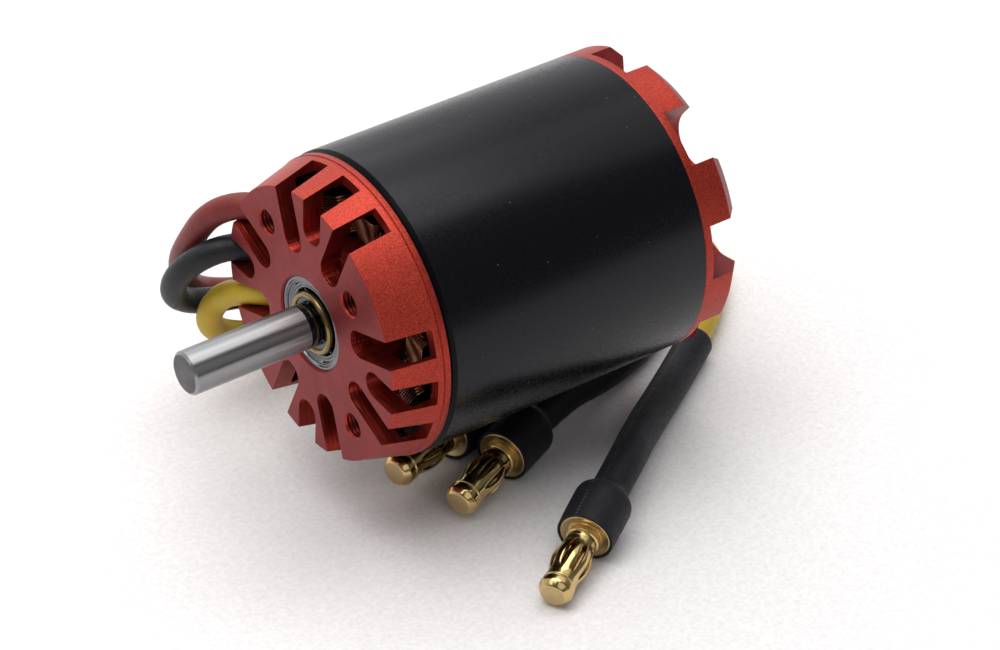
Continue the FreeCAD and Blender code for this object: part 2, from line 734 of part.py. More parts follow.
def make_plug(colour, points):
    """Bullet plug: a body with a solder cup, and the slotted spring that sits on its core."""
    cup, mouth, neck, core, tip = (f"plug_{name}_radius" for name in ("cup", "mouth", "neck", "core", "tip"))
    body = turned_body(f"plug_body_{colour}", [
        ("-plug_bore_depth", "0"),
        ("-plug_bore_depth", "wire_radius"),
        ("-plug_cup_length", "wire_radius"),
        ("-plug_cup_length", cup),
        ("-0.2", cup),
        ("0", f"{cup} - 0.2"),
        ("0", mouth),
        ("-plug_mouth_depth", mouth),
        ("-plug_mouth_depth", neck),
        ("plug_neck_length", neck),
        ("plug_neck_length", core),
        ("plug_tip_start", core),
        ("plug_tip_start", f"{tip} - 0.15"),
        ("plug_tip_start + 0.3", tip),
        ("plug_length - plug_tip_round", tip),
        ("plug_length", f"{tip} - plug_tip_round"),
        ("plug_length", "0"),
    ])
    body.Placement = plug_placement(points)
    stations = [
        ("plug_neck_length + 0.05", "0.65"), ("plug_neck_length + 0.7", "0.45"), ("3.5", "0.12"),
        ("5.0", "0"), ("6.6", "0.15"), ("plug_tip_start - 0.6", "0.45"), ("plug_tip_start - 0.05", "0.6"),
    ]
    outside = [(along, f"spring_belly - {drop}") for along, drop in stations]
    inside = [(along, f"spring_belly - {drop} - spring_sheet") for along, drop in reversed(stations)]
    spring = turned_body(f"plug_spring_{colour}", outside + inside)
    sketch = new_sketch(spring, f"spring_slot_{colour}", "XY_Plane")
    half = "spring_slot_width / 2"
    draw_outline(sketch, [
        ("spring_slot_start", f"-{half}"), ("spring_slot_end", f"-{half}"),
        ("spring_slot_end", half), ("spring_slot_start", half),
    ])
    pattern(spring, [cut_forward(spring, sketch, "spring_belly + 1")], "spring_slots")
    spring.Placement = plug_placement(points)


def make_winding_tail(colour):
    """Bundle of winding ends, soldered to the lead behind the cap's plate."""
    angle = LEAD_ANGLE[colour]
    start = Vec(*ROUTES[colour][0])
    inner = size("cap_boss_radius") + 0.4
    depth = math.hypot(start.y, start.z) - inner
    foot = outward(inner, angle, start.x)
    stub = Part.makeCylinder(size("tail_stub_radius"), depth, foot, outward(1, angle))
    pin_foot = outward(size("tail_pin_circle"), angle, start.x)
    pin_solid = Part.makeCylinder(size("tail_pin_radius"), size("tail_end") - start.x, pin_foot, X_AXIS)
    add_solid(f"winding_tail_{colour}", stub.fuse(pin_solid).removeSplitter())


def make_leads():
    for colour, route in ROUTES.items():
        points = [Vec(*point) for point in route]
        wire = make_lead(colour, points)
        make_sleeve(colour, points, wire)
        make_plug(colour, points)
        make_winding_tail(colour)


# ---------------------------------------------------------------- checks and output

def check_document():
    """Stops on a failed object, or on a sub-part whose shape is missing or not valid."""
    for item in doc.Objects:
        if "Invalid" in item.State or "Error" in item.State:
            raise ValueError(f"{item.Label}: {item.State} {item.getStatusString()}")
    for node in nodes:
        if node.Shape.isNull() or not node.Shape.isValid() or not node.Shape.Solids:
            raise ValueError(f"{node.Label} has no valid solid")


def write_parts():
    os.makedirs("parts", exist_ok=True)
    for node in nodes:
        node.Shape.exportStep(f"parts/{node.Label}.step")
        print(f"{node.Label:28s} solids {len(node.Shape.Solids):2d}  volume {node.Shape.Volume:10.2f}")
    print(len(nodes), "nodes")


fill_sheet()
make_shaft()
make_front_cap()
make_bearing_tube()
make_front_bearing()
make_rear_bearing()
make_wound_core()
make_rotor()
make_leads()
doc.recompute()
check_document()
write_parts()
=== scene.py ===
"""Looks of the brushless outrunner motor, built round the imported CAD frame.

Lengths are in millimetres unless a comment says metres. +X runs along the shaft to the rear, and +Z is up.
Angles round the shaft are in degrees, measured from up towards the camera's side (-Y).
"""
import json
import math

import bmesh
import bpy
from mathutils import Matrix, Vector, noise

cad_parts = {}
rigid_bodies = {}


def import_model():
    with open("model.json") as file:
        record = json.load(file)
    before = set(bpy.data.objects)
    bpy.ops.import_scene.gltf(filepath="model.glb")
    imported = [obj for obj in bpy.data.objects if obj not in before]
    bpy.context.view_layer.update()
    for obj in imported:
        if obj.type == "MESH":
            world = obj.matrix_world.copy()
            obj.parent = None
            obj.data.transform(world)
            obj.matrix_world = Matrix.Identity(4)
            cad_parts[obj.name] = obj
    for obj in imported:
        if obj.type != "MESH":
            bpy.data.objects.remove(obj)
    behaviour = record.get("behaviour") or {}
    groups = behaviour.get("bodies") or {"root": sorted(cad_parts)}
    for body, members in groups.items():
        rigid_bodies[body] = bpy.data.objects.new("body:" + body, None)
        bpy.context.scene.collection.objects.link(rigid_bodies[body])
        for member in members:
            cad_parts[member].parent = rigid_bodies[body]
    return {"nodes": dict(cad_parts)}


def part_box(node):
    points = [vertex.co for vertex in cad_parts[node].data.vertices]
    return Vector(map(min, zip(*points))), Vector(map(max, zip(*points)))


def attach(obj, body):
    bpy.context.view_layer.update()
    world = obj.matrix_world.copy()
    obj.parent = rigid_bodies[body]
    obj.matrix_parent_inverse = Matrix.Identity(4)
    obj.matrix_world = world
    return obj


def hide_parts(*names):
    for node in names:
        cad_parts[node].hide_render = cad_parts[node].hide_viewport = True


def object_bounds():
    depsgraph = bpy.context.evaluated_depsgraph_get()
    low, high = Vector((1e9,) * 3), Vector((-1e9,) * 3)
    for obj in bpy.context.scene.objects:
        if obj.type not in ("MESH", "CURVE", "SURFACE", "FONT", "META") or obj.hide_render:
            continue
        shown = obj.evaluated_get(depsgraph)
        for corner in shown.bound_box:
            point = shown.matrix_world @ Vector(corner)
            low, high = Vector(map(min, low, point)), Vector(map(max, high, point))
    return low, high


MM = 0.001
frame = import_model()
cad_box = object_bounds()
scene = bpy.context.scene


def span(node):
    """First and last station of a CAD node, and its radius.

    A station is a distance behind the front cap's face.
    """
    low, high = (Vector(corner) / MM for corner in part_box(node))
    radius = max(-low.y, -low.z, high.y, high.z)
    return round(low.x, 2), round(high.x, 2), round(radius, 2)


FLOOR = cad_box[0].z / MM
CAN_START, CAN_END, BODY_R = span("rotor_can")
REAR_START, REAR_END = span("rear_cap")[:2]
SHAFT_START, SHAFT_END, SHAFT_R = span("shaft")
BEARING_START, BEARING_END, BEARING_R = span("front_bearing_outer_ring")
RING_START, RING_END, RING_R = span("front_slinger_ring")
CAN_BORE_R = 19.7
TEETH, MAGNETS = 12, 14
# Sides of the widest turned pieces.
FINE = 320

# ---------------------------------------------------------------- camera

# Place, way it looks, and focal length and sensor width in millimetres.
CAMERA_PLACE = (-210.3, -331.6, 271.3)
CAMERA_LOOK = (0.48302, 0.66520, -0.56938)
CAMERA_LENS = 132.66
SENSOR = 36.0
# Nearest and furthest that it sees, in metres.
CLIP = (0.01, 20.0)


def make_camera():
    """Camera at the photograph's viewing angle, with plain tone mapping."""
    scene.view_settings.view_transform = "Standard"
    data = bpy.data.cameras.new("camera")
    data.lens = CAMERA_LENS
    data.sensor_width = SENSOR
    data.sensor_fit = "HORIZONTAL"
    data.clip_start, data.clip_end = CLIP
    camera = bpy.data.objects.new("camera", data)
    scene.collection.objects.link(camera)
    camera.location = Vector(CAMERA_PLACE) * MM
    camera.rotation_euler = Vector(CAMERA_LOOK).to_track_quat("-Z", "Y").to_euler()
    scene.camera = camera


# ---------------------------------------------------------------- node materials

class Nodes:
    """Short hand for building one material's node tree."""

    def __init__(self, name):
        self.material = bpy.data.materials.new(name)
        self.material.use_nodes = True
        self.tree = self.material.node_tree
        self.shader = next(n for n in self.tree.nodes if n.type == "BSDF_PRINCIPLED")
        self.place = self.tree.nodes.new("ShaderNodeTexCoord").outputs["Object"]

    def add(self, kind, **values):
        """New node. Each value is one of its properties or, failing that, one of its inputs."""
        node = self.tree.nodes.new(kind)
        for name, value in values.items():
            if hasattr(node, name):
                setattr(node, name, value)
            else:
                self.put(node.inputs[name.replace("_", " ")], value)
        return node

    def put(self, socket, value):
        """Links another node's output to a socket, or sets the socket's value."""
        if isinstance(value, bpy.types.NodeSocket):
            self.tree.links.new(value, socket)
        else:
            socket.default_value = value

    def set(self, **values):
        """Values or links for the shader's own sockets."""
        for name, value in values.items():
            self.put(self.shader.inputs[name.replace("_", " ")], value)

    def mapped(self, scale):
        """Object coordinates stretched by a scale."""
        node = self.add("ShaderNodeMapping")
        self.put(node.inputs["Vector"], self.place)
        node.inputs["Scale"].default_value = scale
        return node.outputs[0]

    def noise(self, scale, detail=2.0, rough=0.5, vector=None):
        """Noise in object coordinates, or in those of the vector."""
        node = self.add("ShaderNodeTexNoise")
        self.put(node.inputs["Vector"], vector or self.place)
        node.inputs["Scale"].default_value = scale
        node.inputs["Detail"].default_value = detail
        node.inputs["Roughness"].default_value = rough
        return node.outputs["Fac"]

    def cells(self, scale):
        """Distance from the middle of the nearest cell."""
        node = self.add("ShaderNodeTexVoronoi")
        self.put(node.inputs["Vector"], self.place)
        node.inputs["Scale"].default_value = scale
        return node.outputs["Distance"]

    def ramp(self, factor, stops):
        """Colour ramp with (position, colour or grey) stops."""
        node = self.add("ShaderNodeValToRGB")
        self.put(node.inputs["Fac"], factor)
        elements = node.color_ramp.elements
        while len(elements) < len(stops):
            elements.new(0.5)
        for element, (position, colour) in zip(elements, stops):
            element.position = position
            if isinstance(colour, (int, float)):
                colour = (colour, colour, colour)
            element.color = (*colour, 1.0)
        return node.outputs["Color"]

    def range(self, factor, low, high, start=0.0, end=1.0):
        """A factor that runs from start to end, turned into a value from low to high."""
        node = self.add("ShaderNodeMapRange")
        for socket, value in zip(node.inputs, (factor, start, end, low, high)):
            self.put(socket, value)
        return node.outputs["Result"]

    def mix(self, factor, one, other, mode="MIX"):
        """Mixed colour. The node's inputs 6 and 7 and its output 2 are those for colours."""
        node = self.add("ShaderNodeMix", data_type="RGBA", blend_type=mode)
        for number, value in ((0, factor), (6, one), (7, other)):
            if isinstance(value, tuple):
                value = (*value, 1.0)
            self.put(node.inputs[number], value)
        return node.outputs[2]

    def bump(self, *layers):
        """Bump from (height, strength, depth in millimetres) layers, one over the other."""
        normal = None
        for height, strength, depth in layers:
            node = self.add("ShaderNodeBump")
            self.put(node.inputs["Height"], height)
            node.inputs["Strength"].default_value = strength
            node.inputs["Distance"].default_value = depth * MM
            if normal is not None:
                self.put(node.inputs["Normal"], normal)
            normal = node.outputs["Normal"]
        self.set(Normal=normal)


def red_blasted():
    """Bead-blasted aluminium under red dye: a fine grain that sparkles where light hits it."""
    n = Nodes("red_blasted")
    grain = n.noise(6000, 3, 0.75)
    patches = n.noise(160, 2)
    base = n.ramp(patches, [(0.3, (0.33, 0.029, 0.015)), (0.7, (0.38, 0.036, 0.019))])
    fleck = n.ramp(grain, [(0.40, 0.60), (0.60, 1.55)])
    n.set(Base_Color=n.mix(1.0, base, fleck, "MULTIPLY"), Metallic=0.78,
          Roughness=n.range(grain, 0.34, 0.52, 0.3, 0.7), Coat_Weight=0.08, Coat_Roughness=0.4)
    n.bump((grain, 0.9, 0.05), (n.noise(2800, 2), 0.15, 0.02))
    return n.material


def red_machined():
    """The same dye on a machined, finely etched face: duller, with small dark and light patches."""
    n = Nodes("red_machined")
    grain = n.noise(3800, 4, 0.7)
    patches = n.noise(330, 3)
    base = n.ramp(patches, [(0.3, (0.195, 0.014, 0.015)), (0.7, (0.25, 0.020, 0.020))])
    fleck = n.ramp(grain, [(0.38, 0.68), (0.66, 1.36)])
    n.set(Base_Color=n.mix(1.0, base, fleck, "MULTIPLY"), Metallic=0.82,
          Roughness=n.range(grain, 0.38, 0.52, 0.3, 0.7), Coat_Weight=0.05, Coat_Roughness=0.5)
    n.bump((grain, 0.45, 0.03))
    return n.material


def red_cut(name="red_cut", dark=(0.27, 0.026, 0.017), light=(0.40, 0.044, 0.028)):
    """Dyed walls left by an end mill: smooth, with fine ridges stacked along the depth of the cut."""
    n = Nodes(name)
    ridges = n.noise(3600, 2, 0.6, n.mapped((1.0, 0.04, 0.04)))
    cloud = n.noise(500, 2)
    n.set(Base_Color=n.ramp(cloud, [(0.3, dark), (0.7, light)]), Metallic=0.92,
          Roughness=n.range(ridges, 0.28, 0.44, 0.3, 0.7))
    n.bump((ridges, 1.0, 0.10), (n.noise(4200, 2), 0.3, 0.02))
    return n.material


def black_can(name="black_can", gloss=0.24):
    """Satin black oxide with a scatter of dust specks."""
    n = Nodes(name)
    dust = n.ramp(n.cells(420), [(0.035, 1.0), (0.06, 0.0)])
    fine = n.noise(2600, 2)
    base = n.mix(dust, (0.0030, 0.0030, 0.0042), (0.06, 0.06, 0.07))
    n.set(Base_Color=base, Roughness=n.range(fine, 0.22, 0.32, 0.3, 0.7), Specular_IOR_Level=gloss,
          Specular_Tint=(0.93, 0.92, 1.0, 1.0))
    n.bump((fine, 0.10, 0.02))
    return n.material


def ground_steel():
    """Ground shaft steel: fine rings round the axis, faint scratches along it and a stretched highlight."""
    n = Nodes("ground_steel")
    rings = n.noise(900, 3, 0.6, n.mapped((6.0, 0.25, 0.25)))
    scratches = n.noise(900, 2, 0.5, n.mapped((0.12, 3.0, 3.0)))
    grain_way = n.add("ShaderNodeTangent", direction_type="RADIAL", axis="X").outputs[0]
    n.set(Base_Color=n.ramp(scratches, [(0.3, 0.285), (0.7, 0.315)]), Metallic=1.0,
          Roughness=n.range(scratches, 0.28, 0.38, 0.3, 0.7),
          Anisotropic=0.85, Anisotropic_Rotation=0.25, Tangent=grain_way)
    n.bump((rings, 0.05, 0.02), (scratches, 0.03, 0.02))
    return n.material


def turned_end():
    """Saw-cut and turned end of the shaft: dull, with rings round its middle."""
    n = Nodes("turned_end")
    wave = n.add("ShaderNodeTexWave", wave_type="RINGS", rings_direction="X",
                 Scale=900.0, Distortion=1.5, Detail=2.0)
    n.put(wave.inputs["Vector"], n.place)
    rings = wave.outputs["Fac"]
    cloud = n.noise(700, 3)
    n.set(Base_Color=n.ramp(cloud, [(0.3, 0.075), (0.7, 0.125)]), Metallic=0.9,
          Roughness=n.range(rings, 0.36, 0.5))
    n.bump((rings, 0.35, 0.02), (cloud, 0.3, 0.03))
    return n.material


def plain_metal(name, colour, rough, wear=0.06, dark=0.8, bump=0.1):
    """Metal with slight changes of tone and polish."""
    n = Nodes(name)
    cloud = n.noise(420, 3)
    low = tuple(dark * c for c in colour)
    n.set(Base_Color=n.ramp(cloud, [(0.3, low), (0.65, colour)]), Metallic=1.0,
          Roughness=n.range(cloud, max(0.03, rough - wear), rough + wear, 0.3, 0.7))
    n.bump((n.noise(2600, 2), bump, 0.01))
    return n.material


def copper_wire():
    """Enamelled copper wire: darker and lighter stretches under a clear coat."""
    n = Nodes("copper_wire")
    cloud = n.noise(500, 2)
    n.set(Base_Color=n.ramp(cloud, [(0.3, (0.15, 0.055, 0.025)), (0.7, (0.34, 0.15, 0.075))]),
          Metallic=0.95, Roughness=n.range(cloud, 0.14, 0.24), Coat_Weight=0.3, Coat_Roughness=0.1)
    n.bump((n.noise(1500, 2), 0.2, 0.02))
    return n.material


def silicone(name, colour, dark):
    """Silicone insulation: a soft sheen, a fine uneven skin and slow changes of tone."""
    n = Nodes(name)
    cloud = n.noise(260, 3)
    fine = n.noise(2200, 2)
    n.set(Base_Color=n.ramp(cloud, [(0.3, dark), (0.7, colour)]),
          Roughness=n.range(fine, 0.40, 0.55, 0.3, 0.7), Specular_IOR_Level=0.32,
          Subsurface_Weight=0.05, Subsurface_Scale=0.001, Sheen_Weight=0.05, Sheen_Roughness=0.4)
    n.bump((fine, 0.12, 0.02), (n.noise(420, 2), 0.2, 0.05))
    return n.material


def heat_shrink():
    """Matte black sleeve with a slightly pebbled skin and two faint, worn rows of dots along it."""
    n = Nodes("heat_shrink")
    fine = n.noise(1800, 3, 0.6)
    cloud = n.noise(180, 2)
    wrap = n.add("ShaderNodeSeparateXYZ")
    n.put(wrap.inputs[0], n.add("ShaderNodeTexCoord").outputs["UV"])
    row = n.add("ShaderNodeMath", operation="PINGPONG")
    n.put(row.inputs[0], wrap.outputs["X"])
    row.inputs[1].default_value = 0.25
    along = n.add("ShaderNodeMath", operation="FRACT")
    n.put(along.inputs[0], wrap.outputs["Y"])
    rows = n.ramp(row.outputs[0], [(0.004, 1.0), (0.009, 0.0)])
    dashes = n.ramp(along.outputs[0], [(0.40, 1.0), (0.50, 0.0)])
    worn = n.ramp(n.noise(500, 2), [(0.40, 0.0), (0.52, 1.0)])
    dots = n.mix(1.0, n.mix(1.0, rows, dashes, "MULTIPLY"), worn, "MULTIPLY")
    skin = n.ramp(cloud, [(0.3, (0.0070, 0.0062, 0.0088)), (0.7, (0.0120, 0.0105, 0.0145))])
    n.set(Base_Color=n.mix(dots, skin, (0.055, 0.05, 0.06)),
          Roughness=n.range(fine, 0.5, 0.68, 0.3, 0.7), Specular_IOR_Level=0.24)
    n.bump((fine, 0.3, 0.04), (cloud, 0.3, 0.12))
    return n.material


def insulator_plastic():
    """Dark green moulded plastic."""
    n = Nodes("insulator")
    cloud = n.noise(400, 3)
    n.set(Base_Color=n.ramp(cloud, [(0.3, (0.0140, 0.0315, 0.0245)), (0.7, (0.020, 0.045, 0.035))]),
          Roughness=n.range(cloud, 0.47, 0.63))
    n.bump((n.noise(1500, 2), 0.2, 0.02))
    return n.material


def core_steel():
    """Stack of thin sheets: dark bands across the axis."""
    n = Nodes("core_steel")
    band = n.noise(2800, 0, 0.5, n.mapped((1.0, 0.001, 0.001)))
    n.set(Base_Color=n.ramp(band, [(0.4, 0.05), (0.6, 0.16)]), Metallic=0.8, Roughness=0.5)
    n.bump((band, 0.4, 0.05))
    return n.material


def pale_floor():
    """Pale, finely speckled board."""
    n = Nodes("pale_floor")
    grain = n.noise(1500, 4, 0.75)
    n.set(Base_Color=n.ramp(grain, [(0.32, (0.78, 0.75, 0.745)), (0.68, (0.90, 0.875, 0.87))]),
          Roughness=0.8, Specular_IOR_Level=0.2)
    n.bump((grain, 0.5, 0.08))
    return n.material


MATERIALS = {
    "red": red_blasted(),
    "red_face": red_machined(),
    "red_cut": red_cut(),
    # The threads' copy of red_cut is much darker: painted shade inside the mount holes.
    "red_thread": red_cut("red_thread", (0.10, 0.010, 0.008), (0.17, 0.017, 0.012)),
    "black": black_can(),
    "black_edge": black_can("black_edge", 0.09),
    "shaft": ground_steel(),
    "shaft_end": turned_end(),
    # The neck's polish is real, and its darker tone is painted shade by the brass ring.
    "shaft_neck": plain_metal("polished_neck_painted_shade", (0.15, 0.15, 0.165), 0.10, 0.04, 0.8, 0.02),
    "bearing": plain_metal("bearing_steel", (0.17, 0.175, 0.185), 0.09, 0.03, 0.85, 0.01),
    "inner_ring": plain_metal("inner_ring_steel", (0.07, 0.075, 0.085), 0.24, 0.06, 0.8),
    "brass": plain_metal("brass_ring", (0.28, 0.19, 0.075), 0.20, 0.06, 0.75),
    "gold": plain_metal("gold_plate", (0.68, 0.49, 0.21), 0.16, 0.05, 0.85),
    "gold_face": plain_metal("gold_face", (0.56, 0.42, 0.21), 0.32, 0.06, 0.85, 0.3),
    "copper": copper_wire(),
    "core": core_steel(),
    "aluminium": plain_metal("machined_aluminium", (0.62, 0.63, 0.64), 0.32),
    "magnet": plain_metal("nickel_plate", (0.50, 0.50, 0.52), 0.3),
    "screw": plain_metal("black_screw", (0.05, 0.05, 0.055), 0.4),
    "insulator": insulator_plastic(),
    "sleeve": heat_shrink(),
    "wire_black": silicone("silicone_black", (0.012, 0.012, 0.014), (0.007, 0.007, 0.009)),
    "wire_red": silicone("silicone_red", (0.20, 0.024, 0.019), (0.15, 0.017, 0.014)),
    "wire_yellow": silicone("silicone_yellow", (0.52, 0.36, 0.018), (0.44, 0.29, 0.014)),
}


# ---------------------------------------------------------------- mesh helpers

def place(name, mesh, materials, body, replaced, angle=32):
    """Puts a mesh in the scene as a piece on a body and the node it replaces."""
    mesh.set_sharp_from_angle(angle=math.radians(angle))
    for polygon in mesh.polygons:
        polygon.use_smooth = True
    piece = bpy.data.objects.new(name, mesh)
    scene.collection.objects.link(piece)
    mesh.materials.clear()
    for material in materials.split():
        mesh.materials.append(MATERIALS[material])
    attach(piece, body)
    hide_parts(replaced)
    return piece


def finishes(mesh, chosen):
    """Gives each face the number of its material, which a function of its centre and normal returns.

    The centre is in millimetres.
    """
    for polygon in mesh.polygons:
        polygon.material_index = int(chosen(polygon.center / MM, polygon.normal))


def off_axis(point):
    """Distance from the shaft's axis."""
    return math.hypot(point.y, point.z)


def mesh_from(bm, name):
    """Mesh made from a bmesh, which is freed, with its faces turned outwards."""
    bmesh.ops.recalc_face_normals(bm, faces=bm.faces)
    mesh = bpy.data.meshes.new(name)
    bm.to_mesh(mesh)
    bm.free()
    return mesh


def rounded(corners, radius=0.0, steps=3):
    """Closed outline with each corner cut back into an arc. A corner may carry its own radius."""
    outline = []
    count = len(corners)
    for i, corner in enumerate(corners):
        here = Vector(corner[:2])
        reach = corner[2] if len(corner) > 2 else radius
        before = Vector(corners[i - 1][:2]) - here
        after = Vector(corners[(i + 1) % count][:2]) - here
        if reach <= 0 or here.y < 1e-6:
            outline.append(here)
            continue
        turn = before.angle(after)
        cut = min(reach / math.tan(turn / 2), before.length * 0.45, after.length * 0.45)
        start = here + before.normalized() * cut
        end = here + after.normalized() * cut
        for k in range(steps + 1):
            t = k / steps
            outline.append(start * (1 - t) ** 2 + here * 2 * t * (1 - t) + end * t ** 2)
    return outline


def revolved(outline, segments, name="turned"):
    """Closed outline of (station, radius) in millimetres, turned about the shaft's axis."""
    bm = bmesh.new()
    rings = []
    for station, radius in outline:
        if radius < 1e-6:
            rings.append([bm.verts.new((station * MM, 0, 0))])
            continue
        ring = []
        for k in range(segments):
            turn = 2 * math.pi * k / segments
            across, up = -radius * math.sin(turn), radius * math.cos(turn)
            ring.append(bm.verts.new(Vector((station, across, up)) * MM))
        rings.append(ring)
    for one, other in zip(rings, rings[1:] + rings[:1]):
        for k in range(segments):
            corners = []
            for ring, index in ((one, k), (one, k + 1), (other, k + 1), (other, k)):
                vert = ring[index % len(ring)] if len(ring) > 1 else ring[0]
                if vert not in corners:
                    corners.append(vert)
            if len(corners) > 2:
                bm.faces.new(corners)
    return mesh_from(bm, name)


def turned_piece(name, corners, materials, body, replaced, radius, segments, steps=3):
    """Piece made by one turning, with its corners rounded."""
    mesh = revolved(rounded(corners, radius, steps), segments, name)
    return place(name, mesh, materials, body, replaced)


def skin(bm, one, other):
    """Faces between two rings of as many points."""
    for k in range(len(one)):
        j = (k + 1) % len(one)
        bm.faces.new((one[k], one[j], other[j], other[k]))


def ring_round(bm, centre, side, up, radius_of, sides):
    """Ring of points round a centre, at a radius that a function of the angle returns."""
    ring = []
    for k in range(sides):
        turn = 2 * math.pi * k / sides
        out = side * math.cos(turn) + up * math.sin(turn)
        ring.append(bm.verts.new((centre + out * radius_of(turn)) * MM))
    return ring


def prism(outline, low, high):
    """Solid over an outline of (across, up) in the YZ plane, between two stations."""
    bm = bmesh.new()
    ends = [[bm.verts.new((station * MM, y * MM, z * MM)) for y, z in outline] for station in (low, high)]
    bm.faces.new(ends[0])
    bm.faces.new(list(reversed(ends[1])))
    skin(bm, *ends)
    return mesh_from(bm, "cutter")


def slot_outline(width, inner, steps):
    """Slot with a round inner end that runs out past the caps' rims."""
    half = width / 2
    past_rim = BODY_R + 3.0
    outline = [(half, past_rim), (-half, past_rim)]
    for k in range(steps + 1):
        turn = math.pi * (1 + k / steps)
        outline.append((half * math.cos(turn), inner + half + half * math.sin(turn)))
    return outline


def transformed(mesh, matrix):
    """The same mesh, moved by a matrix."""
    mesh.transform(matrix)
    return mesh


def around(angle):
    """Rotation about the shaft's axis, from up towards -Y."""
    return Matrix.Rotation(math.radians(angle), 4, "X")


def cut(mesh, cutters):
    """Mesh with each cutter's solid taken out."""
    body = bpy.data.objects.new("work", mesh)
    scene.collection.objects.link(body)
    tools = bpy.data.collections.new("tools")
    for cutter in cutters:
        tools.objects.link(bpy.data.objects.new("tool", cutter))
    scene.collection.children.link(tools)
    change = body.modifiers.new("cut", "BOOLEAN")
    change.operation = "DIFFERENCE"
    change.solver = "EXACT"
    change.operand_type = "COLLECTION"
    change.collection = tools
    result = evaluated(body)
    for tool in list(tools.objects):
        bpy.data.objects.remove(tool)
    bpy.data.collections.remove(tools)
    return result


def evaluated(body):
    """New mesh with an object's modifiers applied. The object is removed."""
    graph = bpy.context.evaluated_depsgraph_get()
    mesh = bpy.data.meshes.new_from_object(body.evaluated_get(graph))
    bpy.data.objects.remove(body)
    return mesh


def softened(mesh, width):
    """Mesh with its sharp edges rounded, and flat faces that still look flat."""
    bm = bmesh.new()
    bm.from_mesh(mesh)
    bmesh.ops.remove_doubles(bm, verts=bm.verts, dist=0.012 * MM)
    bmesh.ops.dissolve_degenerate(bm, edges=bm.edges, dist=0.005 * MM)
    bm.to_mesh(mesh)
    bm.free()
    for polygon in mesh.polygons:
        polygon.use_smooth = True
    body = bpy.data.objects.new("work", mesh)
    scene.collection.objects.link(body)
    change = body.modifiers.new("soft", "BEVEL")
    change.width = width * MM
    change.segments = 2
    change.limit_method = "ANGLE"
    change.angle_limit = math.radians(40)
    change.miter_outer = "MITER_ARC"
    even = body.modifiers.new("even", "WEIGHTED_NORMAL")
    even.mode = "FACE_AREA"
    even.weight = 100
    return evaluated(body)


def thread_cutter(inner, outer, pitch, low, high, chamfer=0.0):
    """Grooved rod whose rings cut a thread's look into a hole along X. A chamfer starts at station 0."""
    outline = [(low, 0.0), (low, inner + chamfer)]
    if chamfer:
        outline += [(0.0, inner + chamfer), (chamfer, inner)]
        low = chamfer
    for k in range(int((high - low) / pitch)):
        start = low + (k + 0.25) * pitch
        outline += [(start, inner), (start + pitch * 0.375, outer), (start + pitch * 0.55, outer)]
    outline += [(high, inner), (high, 0.0)]
    return revolved(outline, 40, "thread")


# ---------------------------------------------------------------- caps, can and shaft

# Material numbers on both caps.
BLASTED, FACED, MILLED, THREADED = range(4)

# Slots of the front cap, in four groups of three. The group's middle slot is short. The inner ends
# of the slots are at the radii long and short.
SLOT = {"width": 3.9, "depth": 6.0, "first": 4.8, "pitch": 20.5, "long": 10.0, "short": 13.0}
# Angle and radius of each mount hole.
HOLES = ((48.6, 12.5), (228.6, 12.5), (-41.4, 14.3), (138.6, 14.3))
HOLE_THREAD = {"inner": 1.65, "outer": 1.93, "pitch": 0.5}


def front_finish(centre, normal):
    """Which red a face of the front cap has."""
    across = off_axis(centre)
    if centre.x < 0.3 and (normal.x < -0.9 or across < 7.5):
        return FACED
    # Faces on the holes' threads get the darker red, which is painted shade inside the holes.
    for angle, radius in HOLES:
        middle = around(angle) @ Vector((centre.x, 0, radius))
        if centre.x > 0.35 and (middle - centre).length < 2.1:
            return THREADED
    outwards = normal.yz.dot(centre.yz.normalized()) > 0.6
    return BLASTED if across > 18.6 and outwards or centre.x > 6.3 else MILLED


def make_front_cap():
    """Red cup with slots, mount holes and a seat for the bearing."""
    outline = rounded([
        # Flat face, conical shoulder, groove and rim.
        (0.0, 6.75, 0.06), (0.0, 18.9, 0.12), (6.78, 20.66, 0.05), (6.84, 20.57, 0.02),
        (6.92, 20.57, 0.02), (6.98, 20.80, 0.06), (7.8, 20.8, 0.12),
        # Inside of the cup.
        (7.8, 19.0, 0.1), (3.0, 19.0, 0.3), (3.0, 9.0, 0.3),
        # Boss, bore for the bearing tube and seat of the bearing.
        (9.0, 9.0, 0.1), (9.0, 7.5, 0.05), (BEARING_END, 7.5, 0.05), (BEARING_END, BEARING_R, 0.05),
        (0.25, BEARING_R, 0.05),
    ])
    cutters = []
    for group in range(4):
        for side in (-1, 0, 1):
            inner = SLOT["long"] if side else SLOT["short"]
            shape = prism(slot_outline(SLOT["width"], inner, 24), -1.0, SLOT["depth"])
            cutters.append(transformed(shape, around(SLOT["first"] + side * SLOT["pitch"] + 90 * group)))
    for angle, radius in HOLES:
        shape = thread_cutter(**HOLE_THREAD, low=-1.0, high=4.0, chamfer=0.28)
        cutters.append(transformed(shape, around(angle) @ Matrix.Translation((0, 0, radius * MM))))
    mesh = softened(cut(revolved(outline, FINE), cutters), 0.07)
    reds = "red red_face red_cut red_thread"
    place("front_cap_machined", mesh, reds, "stator", "front_cap")
    finishes(mesh, front_finish)


# Notches in the rear cap's rim. They run from the station start to behind the cap.
NOTCH = {"count": 8, "width": 7.96, "inner": 12.5, "first": -6.9, "start": 50.1}
GRUB_STATION = 52.6
GRUB_THREAD = {"inner": 1.3, "outer": 1.52, "pitch": 0.5}


def rear_finish(centre, normal):
    """Which red a face of the rear cap has."""
    across = off_axis(centre)
    if normal.x > 0.5:
        return FACED
    if across < 12.0:
        return MILLED
    in_notch = centre.x > 50.2 and normal.yz.dot(centre.yz / across) < 0.6
    return FACED if in_notch else BLASTED


